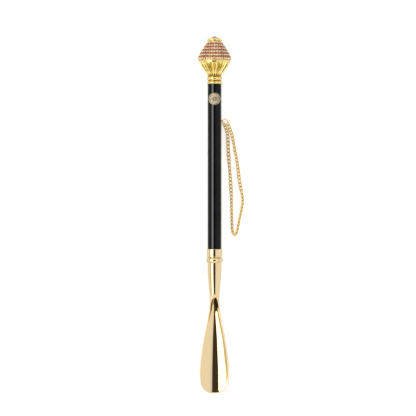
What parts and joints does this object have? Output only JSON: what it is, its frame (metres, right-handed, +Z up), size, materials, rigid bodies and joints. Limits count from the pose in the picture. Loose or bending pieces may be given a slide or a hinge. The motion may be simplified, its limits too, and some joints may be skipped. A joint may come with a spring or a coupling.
{
  "type": "long shoehorn",
  "caption": "Long dress shoehorn with a jewelled, fluted pommel, a lacquered shaft with a wrist chain loop, and a polished metal blade, lying on its back.",
  "frame": {"origin": "middle of the object's box, without the chain, on the surface that it lies on", "axes": "+X along the shoehorn towards the pommel, +Z up out of the blade's hollow, chain on the -Y side"},
  "size_m": [0.5343, 0.0708, 0.0516],
  "materials": {
    "rose_stone": "faceted, foiled",
    "clear_crystal": "faceted, foiled",
    "red_crystal": "faceted, foiled",
    "yellow_gold": "polished gold plate",
    "champagne_gold": "mirror-polished pale gold plate",
    "pale_gold": "polished pale gold plate",
    "chain_gold": "polished gold plate",
    "plain_brass": "turned",
    "steel": "zinc-plated",
    "black_lacquer": "black high-gloss lacquer"
  },
  "bodies": {
    "root": {"top_stone": "rose_stone", "bezel_cup": "yellow_gold", "pommel_cone": "yellow_gold", "setting_row_01": "yellow_gold", "setting_row_02": "yellow_gold", "setting_row_03": "yellow_gold", "setting_row_04": "yellow_gold", "setting_row_05": "yellow_gold", "setting_row_06": "yellow_gold", "setting_row_07": "yellow_gold", "setting_row_08": "yellow_gold", "setting_row_09": "yellow_gold", "setting_row_10": "yellow_gold", "setting_row_11": "yellow_gold", "crystal_row_01": "clear_crystal", "crystal_row_02": "red_crystal", "crystal_row_03": "clear_crystal", "crystal_row_04": "red_crystal", "crystal_row_05": "clear_crystal", "crystal_row_06": "red_crystal", "crystal_row_07": "clear_crystal", "crystal_row_08": "red_crystal", "crystal_row_09": "clear_crystal", "crystal_row_10": "red_crystal", "crystal_row_11": "clear_crystal", "rim_ring": "yellow_gold", "fluted_cup": "yellow_gold", "neck_sleeve": "yellow_gold", "upper_neck_ring": "yellow_gold", "lower_neck_ring": "yellow_gold", "pommel_stud": "steel", "shaft_insert": "plain_brass", "shaft": "black_lacquer", "badge": "pale_gold", "badge_pins": "pale_gold", "chain_eye": "chain_gold", "ferrule_collar": "champagne_gold", "bead_ring": "champagne_gold", "blade": "champagne_gold"},
    "jump_ring": {"jump_ring": "chain_gold"},
    "chain": {"chain": "chain_gold"}
  },
  "joints": [
    {"name": "jump_ring_swing", "type": "hinge", "parent": "root", "child": "jump_ring", "pos_m": [0.1403, -0.0128, 0.02332], "axis": [0, 0, 1], "range_deg": [0, 40]},
    {"name": "chain_lift", "type": "hinge", "parent": "jump_ring", "child": "chain", "pos_m": [0.13703, -0.01675, 0.02139], "axis": [-0.2028, 0.944, -0.2602], "range_deg": [0, 80]}
  ]
}
